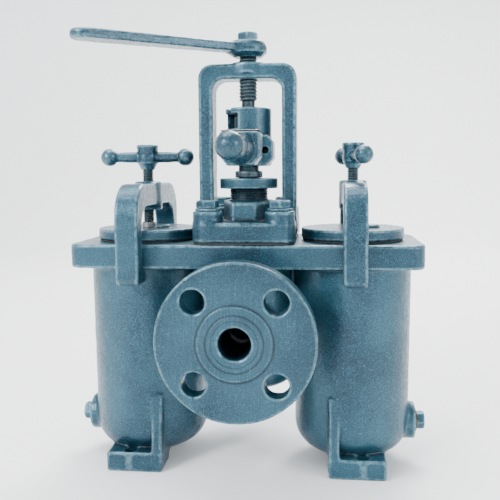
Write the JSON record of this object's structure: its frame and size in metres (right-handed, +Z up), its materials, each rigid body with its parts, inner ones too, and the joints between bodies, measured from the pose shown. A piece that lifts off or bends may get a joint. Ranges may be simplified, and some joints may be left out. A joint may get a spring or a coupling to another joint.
{
  "type": "duplex basket strainer",
  "caption": "Duplex oil strainer: twin basket vessels under screw-down clamped covers, a lift-and-turn changeover cock with yoke, lever and direction plate, flanged front and back.",
  "frame": {"origin": "on the floor, under the middle of the bounding box", "axes": "+X to the right along the top plate, +Y from the inlet flange at the front to the outlet flange at the back, +Z up along the cock's axis"},
  "size_m": [0.3116, 0.2434, 0.3748],
  "materials": {
    "enamel": "glossy blue-grey hammertone enamel on castings, bolts and handles",
    "worn_enamel": "the same enamel in threads and on turned parts, worn and darkened",
    "steel": "machined steel, lightly oiled",
    "basket_steel": "stainless sheet and wire",
    "bronze": "turned bronze",
    "gasket": "black oil-resistant sheet",
    "packing": "greased braided packing",
    "direction_plate": "etched plate, black fields in a bright frame",
    "copper": "copper rivet heads"
  },
  "bodies": {
    "root": {"strainer_body": "enamel", "bonnet_yoke": "enamel", "bonnet_gasket": "gasket", "bonnet_bolt_1": "enamel", "bonnet_bolt_2": "enamel", "bonnet_bolt_3": "enamel", "bonnet_bolt_4": "enamel", "bonnet_washer_1": "steel", "bonnet_washer_2": "steel", "bonnet_washer_3": "steel", "bonnet_washer_4": "steel", "stem_packing": "packing", "gland_nut": "worn_enamel", "cover_left": "enamel", "cover_right": "enamel", "cover_gasket_left": "gasket", "cover_gasket_right": "gasket", "basket_left": "basket_steel", "basket_right": "basket_steel", "basket_bail_left": "basket_steel", "basket_bail_right": "basket_steel", "drain_plug_left": "enamel", "drain_plug_right": "enamel", "drain_washer_left": "bronze", "drain_washer_right": "bronze"},
    "lift": {"thrust_washer": "bronze"},
    "jack": {"jack_screw": "steel", "jack_lever": "enamel", "lever_bolt": "enamel"},
    "cock": {"cock_plug": "bronze", "stem_collar": "worn_enamel", "stem_head": "enamel", "changeover_handle": "enamel", "direction_plate": "direction_plate", "plate_rivet_left": "copper", "plate_rivet_right": "copper"},
    "clamp_left_body": {"clamp_left": "enamel"},
    "tip_left": {"clamp_tip_left": "steel"},
    "screw_left": {"clamp_screw_left": "worn_enamel", "clamp_handle_left": "enamel"},
    "clamp_right_body": {"clamp_right": "enamel"},
    "tip_right": {"clamp_tip_right": "steel"},
    "screw_right": {"clamp_screw_right": "worn_enamel", "clamp_handle_right": "enamel"}
  },
  "joints": [
    {"name": "cock_lift", "type": "slide", "parent": "root", "child": "lift", "axis": [0, 0, 1], "range_m": [0, 0.002]},
    {"name": "jack_turn", "type": "hinge", "parent": "lift", "child": "jack", "pos_m": [0, 0.01175, 0.36], "axis": [0, 0, 1], "range_deg": [0, 180]},
    {"name": "cock_turn", "type": "hinge", "parent": "lift", "child": "cock", "pos_m": [0, 0.01175, 0.2738], "axis": [0, 0, 1], "range_deg": [-45, 45]},
    {"name": "clamp_left_slide", "type": "slide", "parent": "root", "child": "clamp_left_body", "axis": [-1, 0, 0], "range_m": [0, 0.075]},
    {"name": "tip_left_slide", "type": "slide", "parent": "clamp_left_body", "child": "tip_left", "axis": [0, 0, 1], "range_m": [0, 0.009]},
    {"name": "screw_left_turn", "type": "hinge", "parent": "tip_left", "child": "screw_left", "pos_m": [-0.091, 0.01175, 0.269], "axis": [0, 0, 1], "range_deg": [0, 2160]},
    {"name": "clamp_right_slide", "type": "slide", "parent": "root", "child": "clamp_right_body", "axis": [1, 0, 0], "range_m": [0, 0.075]},
    {"name": "tip_right_slide", "type": "slide", "parent": "clamp_right_body", "child": "tip_right", "axis": [0, 0, 1], "range_m": [0, 0.009]},
    {"name": "screw_right_turn", "type": "hinge", "parent": "tip_right", "child": "screw_right", "pos_m": [0.091, 0.01175, 0.269], "axis": [0, 0, 1], "range_deg": [0, 2160]}
  ],
  "couplings": [
    {"joint": "cock_lift", "follows": "jack_turn", "m_per_rad": 0.0006366},
    {"joint": "tip_left_slide", "follows": "screw_left_turn", "m_per_rad": 0.00023873},
    {"joint": "tip_right_slide", "follows": "screw_right_turn", "m_per_rad": 0.00023873}
  ]
}
